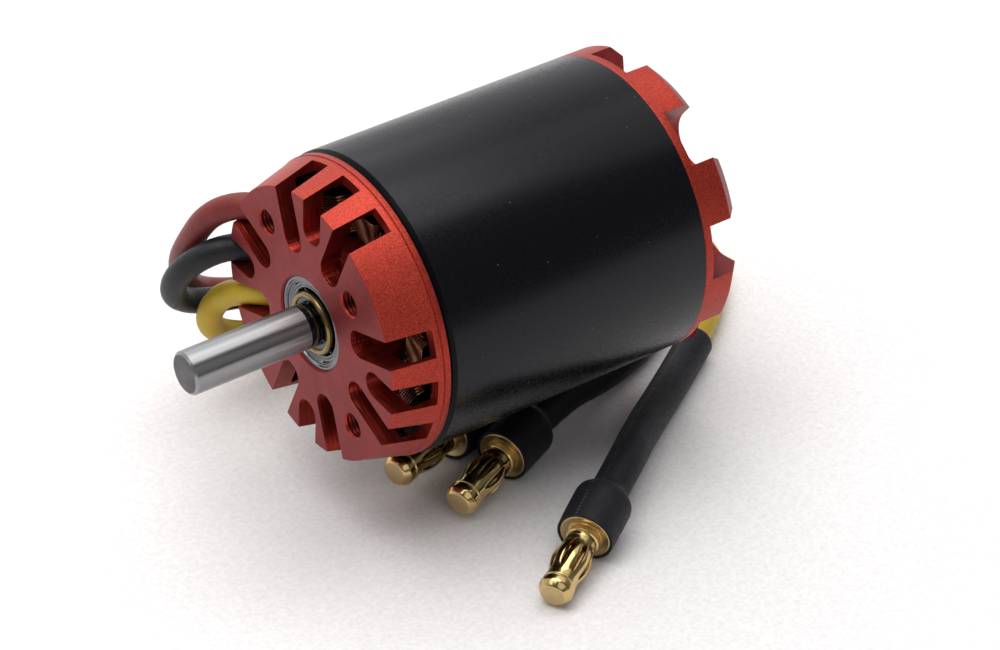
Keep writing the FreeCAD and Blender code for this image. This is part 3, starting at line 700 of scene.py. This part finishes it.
def make_rear_cap():
    """Red disc with a notched rim, fixed in the can's rear end."""
    outline = rounded([
        # Spigot inside the can, and the chamfered rim.
        (REAR_START, SHAFT_R, 0), (REAR_START, CAN_BORE_R, 0.1), (CAN_END, CAN_BORE_R, 0.05),
        (CAN_END, BODY_R, 0.12), (REAR_END - 2.0, BODY_R, 0.15), (REAR_END, BODY_R - 2.0, 0.15),
        # Recess in the rear face.
        (REAR_END, 9.5, 0.2), (54.7, 8.7, 0.2), (54.7, SHAFT_R, 0.1),
    ])
    cutters = []
    for k in range(NOTCH["count"]):
        shape = prism(slot_outline(NOTCH["width"], NOTCH["inner"], 40), NOTCH["start"], REAR_END + 1.5)
        cutters.append(transformed(shape, around(NOTCH["first"] + 360 / NOTCH["count"] * k)))
    # Threaded holes for the two grub screws, a quarter turn apart.
    upright = Matrix.Translation((GRUB_STATION * MM, 0, 0)) @ Matrix.Rotation(math.radians(-90), 4, "Y")
    for quarter in (0, 90):
        rod = thread_cutter(**GRUB_THREAD, low=2.0, high=14.0)
        cutters.append(transformed(rod, around(NOTCH["first"] + quarter) @ upright))
    mesh = softened(cut(revolved(outline, FINE), cutters), 0.08)
    place("rear_cap_machined", mesh, "red red_face red_cut", "rotor", "rear_cap")
    finishes(mesh, rear_finish)


CAN_CHAMFER = 0.7


def make_can():
    """Tube whose front chamfer is duller than the rest."""
    chamfer_end = CAN_START + CAN_CHAMFER
    can = turned_piece("flux_can", [
        (CAN_START, CAN_BORE_R), (CAN_START, BODY_R - CAN_CHAMFER, 0.1), (chamfer_end, BODY_R, 0.1),
        (CAN_END, BODY_R, 0.05), (CAN_END, CAN_BORE_R),
    ], "black black_edge", "rotor", "rotor_can", 0.05, FINE)
    finishes(can.data, lambda centre, normal: centre.x < chamfer_end - 0.04)


# Material numbers on the shaft.
GROUND, TURNED, POLISHED_AND_SHADED = range(3)
# The polished neck in front of the bearing starts here. Its steel is darker than the ground shaft's:
# painted shade by the brass ring, on a real polish.
NECK_START = -1.5


def shaft_finish(centre, normal):
    """Which steel a face of the shaft has."""
    if abs(normal.x) > 0.9 and not SHAFT_START + 0.1 < centre.x < SHAFT_END - 0.1:
        return TURNED
    return POLISHED_AND_SHADED if NECK_START < centre.x < 1.0 else GROUND


def make_shaft():
    """Shaft with chamfered ends."""
    shaft = turned_piece("ground_shaft", [
        (SHAFT_START, 0.0), (SHAFT_START, 2.62, 0.12), (SHAFT_START + 0.35, SHAFT_R, 0.08),
        # Groove under the brass ring.
        (NECK_START, SHAFT_R, 0), (0.05, SHAFT_R), (0.05, 2.6), (0.85, 2.6), (0.85, SHAFT_R),
        (SHAFT_END - 0.35, SHAFT_R, 0.15), (SHAFT_END, 2.62, 0.12), (SHAFT_END, 0.0),
    ], "shaft shaft_end shaft_neck", "rotor", "shaft", 0.02, 160)
    finishes(shaft.data, shaft_finish)


# ---------------------------------------------------------------- bearings

def make_bearings():
    """Front bearing's two rings and shield, and the brass ring in front of it."""
    start, end = BEARING_START, BEARING_END
    turned_piece("front_outer_ring", [
        (start, BEARING_R, 0.15), (start, 6.12, 0.12), (0.52, 6.0, 0.06), (0.52, 5.85, 0.02),
        # Ball groove.
        (1.7, 5.85), (2.0, 5.95), (3.6, 5.95), (3.9, 5.85), (end, 5.85), (end, BEARING_R, 0.2),
    ], "bearing", "stator", "front_bearing_outer_ring", 0.05, 200, 9)
    turned_piece("front_shield", [
        (0.62, 5.85, 0.03), (0.56, 5.68, 0.1), (1.02, 5.3, 0.5), (0.70, 4.9, 0.35), (1.0, 4.6, 0.1),
        (1.2, 4.6, 0.04), (0.95, 4.95, 0.2), (1.25, 5.32, 0.3), (0.85, 5.75, 0.1), (0.85, 5.85, 0.03),
    ], "bearing", "stator", "front_bearing_shield", 0.05, 200, 9)
    turned_piece("front_inner_ring", [
        (start, SHAFT_R), (start, 3.65, 0.12), (0.8, 3.65), (0.8, 4.0, 0.08),
        # Ball groove.
        (1.9, 4.0), (2.2, 3.86), (3.4, 3.86), (3.7, 4.0), (end, 4.0, 0.1), (end, SHAFT_R),
    ], "inner_ring", "rotor", "front_bearing_inner_ring", 0.03, 128)
    turned_piece("slinger", [
        (RING_END, 3.65), (0.2, 3.65, 0.12), (RING_START, 3.85, 0.15), (RING_START, 4.2, 0.18),
        (0.3, RING_R, 0.2), (RING_END, RING_R, 0.05),
    ], "brass", "rotor", "front_slinger_ring", 0.05, 128)


# ---------------------------------------------------------------- windings

# A coil's turns start at the radius inner, and grow outwards by the taper's angle. Its middle is a
# station, and coil 1 stands at the angle first.
COIL = {
    "inner": 9.7, "height": 5.8, "half_width": 2.45, "half_length": 17.2, "corner": 1.0, "taper": 14.0,
    "middle": 25.5, "first": -85.2, "pitch": 0.42, "strand_radius": 0.1638, "wobble": 0.12,
}


def loop_points(grow, radial, seed):
    """One turn of wire: a rounded rectangle round the tooth."""
    corner = COIL["corner"]
    points = []
    for sx, sy, start in ((1, 1, 0), (-1, 1, 90), (-1, -1, 180), (1, -1, 270)):
        x = sx * (COIL["half_length"] + grow - corner)
        y = sy * (COIL["half_width"] + grow - corner)
        for k in range(5):
            turn = math.radians(start + 90 * k / 4)
            along = COIL["middle"] + x + corner * math.cos(turn)
            across = y + corner * math.sin(turn)
            shift = COIL["wobble"] * noise.noise(Vector((seed, len(points) * 0.31, 0.5)))
            points.append(Vector((along, across, radial + shift)))
    return points


def add_loop(bm, points, radius):
    """Closed round tube through points, added to a mesh."""
    rings = []
    for i, point in enumerate(points):
        ahead = (points[(i + 1) % len(points)] - points[i - 1]).normalized()
        side = ahead.cross(Vector((0, 0, 1))).normalized()
        rings.append(ring_round(bm, point, side, side.cross(ahead), lambda turn: radius, 8))
    for one, other in zip(rings, rings[1:] + rings[:1]):
        skin(bm, one, other)


def make_coil(number):
    """One tooth's winding: turns of round wire stacked outwards in a wedge."""
    pitch = COIL["pitch"]
    bm = bmesh.new()
    for k in range(int(COIL["height"] / pitch)):
        rise = (k + 0.5) * pitch
        grow = rise * math.tan(math.radians(COIL["taper"])) - pitch / 2
        points = loop_points(grow, COIL["inner"] + rise, number * 9 + k * 0.12)
        add_loop(bm, points, COIL["strand_radius"])
    mesh = transformed(mesh_from(bm, "coil"), around(COIL["first"] + (number - 1) * 360 / TEETH))
    place(f"winding_{number:02d}", mesh, "copper", "stator", f"coil_{number:02d}", 60)


# ---------------------------------------------------------------- leads

ROUTES = {
    "black": [
        (5.0, 10.6, 0.9), (5.0, 14.5, 1.2), (3.0, 18.1, 1.5), (-1.0, 20.0, 1.4),
        (-4.0, 22.5, -1.0), (-5.3, 25.3, -5.0), (-4.0, 27.6, -9.5), (1.2, 28.6, -12.8),
        (9.0, 28.8, -14.6), (17.5, 28.4, -18.0), (27.0, 27.4, -22.4), (37.5, 26.8, -26.4),
        (48.5, 26.4, -27.7), (58.0, 24.4, -27.5), (62.8, 17.6, -26.95), (59.2, 10.8, -26.95),
        (50.6, 7.3, -26.95), (42.2, 5.2, -26.8), (34.14, 2.2, -25.45), (22.22, -1.2, -25.45),
    ],
    "red": [
        (5.0, 9.75, 4.6), (4.9, 12.7, 6.0), (4.5, 15.5, 7.3), (2.2, 18.0, 8.4),
        (-0.9, 22.3, 5.8), (-2.1, 26.2, -0.6), (-1.3, 30.2, -6.4), (1.5, 33.0, -13.0),
        (9.0, 34.4, -17.4), (19.0, 35.2, -19.8), (30.0, 34.8, -22.6), (41.0, 33.0, -26.2),
        (53.0, 31.8, -27.7), (63.5, 28.8, -27.7), (70.0, 21.4, -27.4), (69.2, 12.8, -26.95),
        (63.0, 5.8, -26.95), (54.7, 1.0, -26.9), (46.2, -2.1, -26.2), (36.75, -4.55, -24.5),
        (25.33, -9.28, -25.36),
    ],
    "yellow": [
        (5.0, 10.6, -2.98), (4.4, 12.4, -3.5), (2.8, 14.8, -4.2), (1.7, 18.2, -5.4),
        (0.1, 22.6, -8.0), (-1.1, 24.4, -12.6), (2.1, 26.0, -16.8), (7.8, 27.4, -20.1),
        (14.2, 29.4, -23.7), (22.0, 32.0, -26.8), (32.0, 35.6, -27.7), (43.5, 37.6, -27.7),
        (56.0, 37.8, -27.7), (68.0, 35.2, -27.7), (76.4, 28.6, -27.7), (79.8, 19.0, -27.7),
        (77.1, 11.0, -26.8), (71.4, 4.2, -27.2), (65.8, -0.6, -26.95), (58.4, -5.5, -26.95),
        (49.9, -11.3, -26.4), (41.8, -17.0, -25.0), (34.03, -23.35, -23.3), (23.54, -29.69, -25.17),
    ],
}
# Distance from the solder cup back to the far end of each sleeve.
SLEEVE_START = {"black": 42.5, "red": 45.4, "yellow": 48.0}
# Each sleeve wrinkles in its own way, and each plug's slots are turned by their own angle in radians.
WRINKLES = {"black": 1.0, "red": 2.0, "yellow": 3.0}
TWIST = {"black": 0.1, "red": 0.3, "yellow": 0.22}
WIRE_RADIUS = 1.8
# A sleeve's stations are negative and end with 0 at the plug's flange. It is thin round the wire, widens
# between its shoulder and its fat end's start, and is open over the cup.
SLEEVE = {
    "thin": 2.55, "fat": 4.0, "shoulder": -8.9, "fat_start": -6.6, "mouth_rim": 3.74, "mouth": 3.54,
    "mouth_depth": 3.0, "step": 0.5, "sides": 48,
}
# Length along the sleeve of one dot and the gap after it.
DOT_PITCH = 0.6
# Depth of the wire's end in the plug's cup, from the flange's face.
BORE = 2.0


def lead_curve(colour):
    """Smooth line of a lead: a NURBS curve whose control points are the route's."""
    data = bpy.data.curves.new(f"lead_{colour}_line", "CURVE")
    data.dimensions = "3D"
    data.resolution_u = 24
    spline = data.splines.new("NURBS")
    points = ROUTES[colour]
    spline.points.add(len(points) - 1)
    for target, point in zip(spline.points, points):
        target.co = (*(Vector(point) * MM), 1.0)
    spline.order_u = 3
    spline.use_endpoint_u = True
    return data


def read_line(curve):
    """Points along a curve that has no bevel, in millimetres."""
    probe = bpy.data.objects.new("probe", curve)
    scene.collection.objects.link(probe)
    mesh = evaluated(probe)
    points = [vert.co / MM for vert in mesh.vertices]
    bpy.data.meshes.remove(mesh)
    return points


def resampled(points, step):
    """The same line with points a step apart, and their distances from its end."""
    lengths = [0.0]
    for one, other in zip(points, points[1:]):
        lengths.append(lengths[-1] + (other - one).length)
    total = lengths[-1]
    count = max(2, round(total / step))
    result, away, index = [], [], 0
    for k in range(count + 1):
        goal = total * k / count
        while index < len(lengths) - 2 and lengths[index + 1] < goal:
            index += 1
        span = lengths[index + 1] - lengths[index]
        t = (goal - lengths[index]) / span if span else 0.0
        result.append(points[index].lerp(points[index + 1], t))
        away.append(total - goal)
    return result, away


def frames_along(points):
    """Side and up at each point, carried along without twist."""
    frames = []
    side = None
    for i in range(len(points)):
        ahead = (points[min(i + 1, len(points) - 1)] - points[max(i - 1, 0)]).normalized()
        if side is None:
            side = ahead.cross(Vector((0, 0, 1))).normalized()
        side = (side - ahead * side.dot(ahead)).normalized()
        frames.append((side, side.cross(ahead)))
    return frames


def sleeve_radius(u):
    """Outside of a smooth sleeve at a station."""
    shoulder, fat_start = SLEEVE["shoulder"], SLEEVE["fat_start"]
    if u < shoulder:
        return SLEEVE["thin"]
    if u > fat_start:
        return SLEEVE["fat"] - 0.10 * (1 - u / fat_start) ** 4
    t = (u - shoulder) / (fat_start - shoulder)
    t = t * t * (3 - 2 * t)
    return SLEEVE["thin"] * (1 - t) + SLEEVE["fat"] * t


def wrinkled_radius(turn, u, seed):
    """Outside of a sleeve at an angle and a station, pressed in by wrinkles and a fold at the shoulder."""
    wave = noise.noise(Vector((u * 0.22, math.cos(turn) * 1.3 + seed * 9, math.sin(turn) * 1.3)))
    squeeze = wave * (0.035 if u > -9.0 else 0.07)
    fold = 0.05 * math.cos(2 * (turn - seed)) * math.exp(-((u + 9.5) / 3.0) ** 2)
    return sleeve_radius(u) + min(squeeze + fold, 0.0)


def sleeve_line(colour, line):
    """A sleeve's middle line, which goes on past the lead's to the flange, and its points' stations."""
    points, stations = [], []
    for point, away in zip(*resampled(line, SLEEVE["step"])):
        if away < SLEEVE_START[colour]:
            points.append(point)
            stations.append(-(away + BORE))
    ahead = (points[-1] - points[-2]).normalized()
    while stations[-1] < -1e-6:
        step = min(SLEEVE["step"], -stations[-1])
        points.append(points[-1] + ahead * step)
        stations.append(stations[-1] + step)
    return points, stations


def wrap_dots(bm, stations):
    """UV for the rows of dots: X goes once round the sleeve, Y grows by one for each dot.

    The mesh is rings of points, and stations has one for each ring.
    """
    sides = SLEEVE["sides"]
    bm.verts.index_update()
    wrap = bm.loops.layers.uv.new("wrap")
    for face in bm.faces:
        for loop in face.loops:
            ring, k = divmod(loop.vert.index, sides)
            loop[wrap].uv = (k / sides + 0.3, stations[ring] / DOT_PITCH)


def make_sleeve(colour, line):
    """Heat-shrink sleeve round the line's end, open over the plug's cup, with wrinkles."""
    points, stations = sleeve_line(colour, line)
    frames = frames_along(points)
    seed = WRINKLES[colour]
    bm = bmesh.new()
    rings, ring_stations = [], []

    def add_ring(index, radius_of):
        ring_stations.append(stations[index])
        rings.append(ring_round(bm, points[index], *frames[index], radius_of, SLEEVE["sides"]))

    def add_outside(index, inset=0.0):
        add_ring(index, lambda turn: wrinkled_radius(turn, stations[index], seed) - inset)

    last = len(points) - 1
    # End on the wire, the skin, and the mouth with a short way in.
    add_ring(0, lambda turn: WIRE_RADIUS + 0.02)
    add_outside(0, 0.25)
    for i in range(1, last):
        add_outside(i)
    add_outside(last, 0.02)
    for radius in (SLEEVE["mouth_rim"], SLEEVE["mouth"]):
        add_ring(last, lambda turn: radius)
    for i in range(last - 1, 0, -1):
        if stations[i] > -SLEEVE["mouth_depth"]:
            add_ring(i, lambda turn: SLEEVE["mouth"] - 0.02)
    for one, other in zip(rings, rings[1:]):
        skin(bm, one, other)
    wrap_dots(bm, ring_stations)
    mesh = mesh_from(bm, "sleeve")
    return place(f"shrink_{colour}", mesh, "sleeve", "stator", f"sleeve_{colour}", 70)


def plug_matrix(colour):
    """Plug's own frame: origin on the flange's face, +X towards the tip."""
    points = [Vector(p) for p in ROUTES[colour][-2:]]
    ahead = (points[1] - points[0]).normalized()
    flange = points[1] + ahead * BORE
    turn = Vector((1, 0, 0)).rotation_difference(ahead).to_matrix().to_4x4()
    return Matrix.Translation(flange * MM) @ turn


# Lantern spring, in the plug's own frame. Band and belly are radii, and slot is each slot's width at its
# middle.
SPRING = {
    "start": 1.62, "end": 8.6, "band": 2.12, "belly": 2.6, "sheet": 0.28, "strips": 8,
    "slot_start": 2.35, "slot_end": 7.6, "slot": 0.92,
}


def spring_radius(u):
    """Outside of the spring at a station: it bulges where its slots are."""
    start, end = SPRING["slot_start"] - 0.3, SPRING["slot_end"] + 0.3
    t = min(1.0, max(0.0, (u - start) / (end - start)))
    return SPRING["band"] + (SPRING["belly"] - SPRING["band"]) * math.sin(math.pi * t) ** 1.4


def spring_mesh():
    """Lantern spring: a sheet with lens-shaped slots that bulges between its end bands."""
    across = 10
    half_pitch = math.pi / SPRING["strips"]
    middle = (SPRING["slot_start"] + SPRING["slot_end"]) / 2
    reach = (SPRING["slot_end"] - SPRING["slot_start"]) / 2
    stations = [SPRING["start"] + 0.25 * k for k in range(3)]
    stations += [middle - reach * math.cos(math.pi * k / 26) for k in range(27)]
    stations += [SPRING["end"] - 0.3 * k for k in (2, 1, 0)]
    bm = bmesh.new()
    for strip in range(SPRING["strips"]):
        centre = 2 * half_pitch * strip
        rows = []
        for u in stations:
            radius = spring_radius(u)
            open_part = math.sqrt(max(0.0, 1 - ((u - middle) / reach) ** 2))
            half = half_pitch - SPRING["slot"] / 2 / radius * open_part
            row = []
            for k in range(across + 1):
                t = 2 * k / across - 1
                turn = centre + half * t
                outer = radius - 0.10 * open_part * abs(t) ** 3
                for r in (outer, outer - SPRING["sheet"]):
                    row.append(bm.verts.new((u * MM, -r * MM * math.sin(turn), r * MM * math.cos(turn))))
            rows.append(row)
        # Outer and inner side, the walls of the slots beside the strip, and the rims of the end bands.
        for one, other in zip(rows, rows[1:]):
            for k in range(across):
                a, b = 2 * k, 2 * k + 2
                bm.faces.new((one[a], one[b], other[b], other[a]))
                bm.faces.new((other[a + 1], other[b + 1], one[b + 1], one[a + 1]))
            edge = 2 * across
            bm.faces.new((one[0], other[0], other[1], one[1]))
            bm.faces.new((one[edge + 1], other[edge + 1], other[edge], one[edge]))
        for row in (rows[0], rows[-1]):
            for k in range(across):
                bm.faces.new((row[2 * k], row[2 * k + 1], row[2 * k + 3], row[2 * k + 2]))
    bmesh.ops.remove_doubles(bm, verts=bm.verts, dist=0.004 * MM)
    return mesh_from(bm, "spring")


def plug_finish(centre, normal):
    """Number of the plug's gold: 1, the duller one, on the tip's flat end and the flange's face."""
    tip = centre.x > 11.1 and normal.x > 0.9
    flange = -1.0 < centre.x < 0.1 and off_axis(centre) > 2.2
    return tip or flange


def make_plug(colour):
    """Turned gold plug with its lantern spring."""
    body = revolved(rounded([
        # Solder cup and flange.
        (-7.3, 1.85, 0.05), (-7.3, 3.5, 0.15), (-0.08, 3.5, 0.1), (0.0, 3.34, 0.08), (-0.12, 3.05, 0.08),
        (-0.34, 2.5, 0.2), (-0.30, 2.15, 0.1),
        # Collar, and the core under the spring.
        (0.35, 2.12, 0.08), (0.5, 2.3, 0.07), (0.82, 2.3, 0.07), (0.95, 2.08, 0.05), (1.55, 2.08, 0.06),
        (1.6, 1.3, 0.1), (8.62, 1.3, 0.1), (8.62, 2.0, 0.05),
        # Front collar and tip.
        (8.72, 2.24, 0.08), (8.98, 2.24, 0.08), (9.1, 2.06, 0.06), (9.4, 2.32, 0.2), (10.3, 2.36, 0.7),
        (11.2, 1.72, 0.6), (11.2, 0.0),
        # Inside of the cup.
        (-BORE, 0.0), (-BORE, 1.85, 0.05),
    ], steps=5), 96, "plug")
    matrix = plug_matrix(colour)
    plug = place(f"plug_{colour}", body, "gold gold_face", "stator", f"plug_body_{colour}", 40)
    finishes(body, plug_finish)
    transformed(body, matrix)
    spring = transformed(spring_mesh(), matrix @ Matrix.Rotation(TWIST[colour], 4, "X"))
    lantern = place(f"lantern_{colour}", spring, "gold", "stator", f"plug_spring_{colour}", 50)
    return [plug, lantern]


def make_lead(colour):
    """Lead with its sleeve and plug."""
    data = lead_curve(colour)
    line = read_line(data)
    data.bevel_depth = WIRE_RADIUS * MM
    data.bevel_resolution = 8
    data.use_fill_caps = True
    data.materials.append(MATERIALS[f"wire_{colour}"])
    lead = bpy.data.objects.new(f"wire_{colour}", data)
    scene.collection.objects.link(lead)
    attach(lead, "stator")
    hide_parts(f"lead_{colour}")
    with_pieces = [make_sleeve(colour, line), *make_plug(colour)]


# ---------------------------------------------------------------- CAD nodes that stay

KEPT = {
    "bearing_tube": "aluminium", "stator_core": "core", "front_insulator": "insulator",
    "rear_insulator": "insulator", "rear_bearing_outer_ring": "bearing",
    "rear_bearing_inner_ring": "inner_ring", "front_bearing_balls": "bearing",
    "rear_bearing_balls": "bearing", "rear_spacer": "brass", "grub_screws": "screw",
}


def dress(node, material):
    """Gives a CAD node its material."""
    item = frame["nodes"][node]
    item.data.materials.clear()
    item.data.materials.append(MATERIALS[material])


def dress_kept_nodes():
    """Materials for the CAD nodes that no piece replaces."""
    for node, material in KEPT.items():
        dress(node, material)
    for number in range(1, MAGNETS + 1):
        dress(f"magnet_{number:02d}", "magnet")
    for colour in ROUTES:
        dress(f"winding_tail_{colour}", "copper")


# ---------------------------------------------------------------- stage

def make_stage():
    """Square floor, 6 m on a side."""
    data = bpy.data.meshes.new("floor")
    half = 3.0
    z = FLOOR * MM
    corners = [(-half, -half, z), (half, -half, z), (half, half, z), (-half, half, z)]
    data.from_pydata(corners, [], [(0, 1, 2, 3)])
    floor = bpy.data.objects.new("floor", data)
    scene.collection.objects.link(floor)
    data.materials.append(pale_floor())


# Name, place, side of the square in metres and power in watts of each soft box.
SOFT_BOXES = (
    ("top", (0, 50, 900), 0.9, 5.1),
    ("top_back", (60, 500, 750), 0.9, 2.2),
    ("left_high", (-350, -50, 800), 0.5, 1.5),
    ("camera_side", (-150, -750, 500), 0.6, 0.75),
    ("back", (50, 850, 350), 0.8, 0.9),
    ("left_top", (-600, 100, 650), 0.35, 0.5),
    ("right_top", (500, 0, 700), 0.6, 0.7),
)
# All soft boxes point at this place.
LIT_POINT = (20, 0, 0)
# How far towards the back the sky starts and ends to brighten, and its two strengths.
SKY = {"start": -0.5, "end": 0.9, "front": 0.15, "back": 0.80}


def make_soft_box(name, spot, side, power):
    """Square area light that points at the motor."""
    data = bpy.data.lights.new(name, "AREA")
    data.shape = "SQUARE"
    data.size = side
    data.energy = power
    light = bpy.data.objects.new(name, data)
    scene.collection.objects.link(light)
    light.location = Vector(spot) * MM
    light.rotation_euler = (Vector(LIT_POINT) - Vector(spot)).to_track_quat("-Z", "Y").to_euler()


def make_sky():
    """Soft light from all round, stronger from the back (+Y) than from the camera's side."""
    world = bpy.data.worlds.new("studio")
    scene.world = world
    world.use_nodes = True
    nodes, links = world.node_tree.nodes, world.node_tree.links
    background = nodes["Background"]
    background.inputs["Color"].default_value = (0.96, 0.97, 1.0, 1.0)
    way = nodes.new("ShaderNodeTexCoord")
    parts = nodes.new("ShaderNodeSeparateXYZ")
    fade = nodes.new("ShaderNodeMapRange")
    fade.interpolation_type = "SMOOTHSTEP"
    for socket, key in zip(fade.inputs[1:5], ("start", "end", "front", "back")):
        socket.default_value = SKY[key]
    links.new(way.outputs["Generated"], parts.inputs[0])
    links.new(parts.outputs["Y"], fade.inputs[0])
    links.new(fade.outputs[0], background.inputs["Strength"])


# ---------------------------------------------------------------- everything

make_camera()
for lead_colour in ROUTES:
    make_lead(lead_colour)
make_front_cap()
make_rear_cap()
make_can()
make_shaft()
make_bearings()
for coil_number in range(1, TEETH + 1):
    make_coil(coil_number)
dress_kept_nodes()
make_stage()
for soft_box in SOFT_BOXES:
    make_soft_box(*soft_box)
make_sky()
